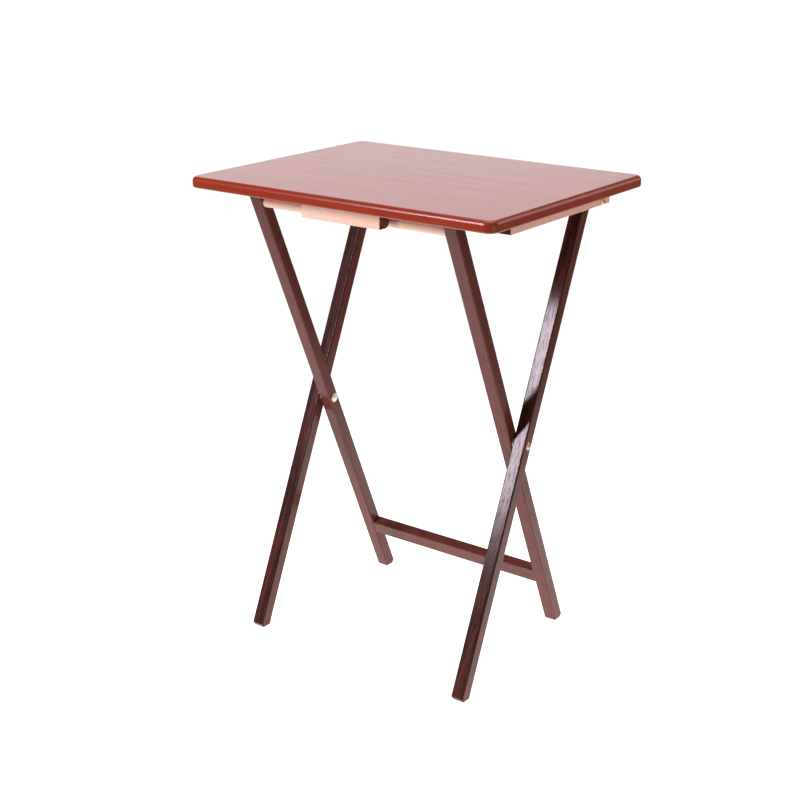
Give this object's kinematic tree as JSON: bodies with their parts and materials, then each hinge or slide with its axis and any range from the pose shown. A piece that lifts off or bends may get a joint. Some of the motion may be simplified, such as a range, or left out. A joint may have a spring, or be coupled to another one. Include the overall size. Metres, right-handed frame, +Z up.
{
  "type": "folding tray table",
  "caption": "Folding tray table with a round-edged wooden top on crossing leg frames, hinged at the back and held by a latch block at the front.",
  "frame": {"origin": "on the floor, under the middle of the top", "axes": "+Z up, +X to the table's right, +Y to its back, where the top is hinged"},
  "size_m": [0.478, 0.37, 0.66],
  "materials": {
    "top_veneer": "satin lacquered reddish veneer",
    "dark_wood": "satin dark walnut stain",
    "pale_wood": "bare sanded wood",
    "copper_head": "satin",
    "gold_washer": "satin",
    "steel": "zinc plated"
  },
  "bodies": {
    "outer_frame": {"outer_leg_left": "dark_wood", "outer_leg_right": "dark_wood", "pivot_bolt_left": "copper_head", "pivot_bolt_right": "copper_head", "pivot_nut_left": "steel", "pivot_nut_right": "steel", "pivot_washer_left": "gold_washer", "pivot_washer_right": "gold_washer", "pivot_spacer_left": "steel", "pivot_spacer_right": "steel"},
    "inner_frame": {"inner_leg_left": "dark_wood", "inner_leg_right": "dark_wood", "stretcher": "dark_wood", "stretcher_pins_left": "pale_wood", "stretcher_pins_right": "pale_wood", "crossbar": "pale_wood"},
    "top_hinge": {"hinge_bolt_left": "gold_washer", "hinge_bolt_right": "gold_washer", "hinge_nut_left": "steel", "hinge_nut_right": "steel", "hinge_washer_left": "steel", "hinge_washer_right": "steel"},
    "table_top": {"top_panel": "top_veneer", "rail_left": "pale_wood", "rail_right": "pale_wood", "latch_block": "pale_wood", "rail_screws_left": "steel", "rail_screws_right": "steel", "latch_screws": "steel"}
  },
  "joints": [
    {"name": "leg_fold", "type": "hinge", "parent": "outer_frame", "child": "inner_frame", "pos_m": [0, -0.0026, 0.32], "axis": [-1, 0, 0], "range_deg": [0, 47]},
    {"name": "top_level", "type": "hinge", "parent": "outer_frame", "child": "top_hinge", "pos_m": [0, 0.132, 0.6295], "axis": [-1, 0, 0], "range_deg": [0, 23.5]},
    {"name": "top_lift", "type": "hinge", "parent": "top_hinge", "child": "table_top", "pos_m": [0, 0.132, 0.6295], "axis": [-1, 0, 0], "range_deg": [0, 90]}
  ],
  "couplings": [
    {"joint": "top_level", "follows": "leg_fold", "ratio": 0.5}
  ]
}
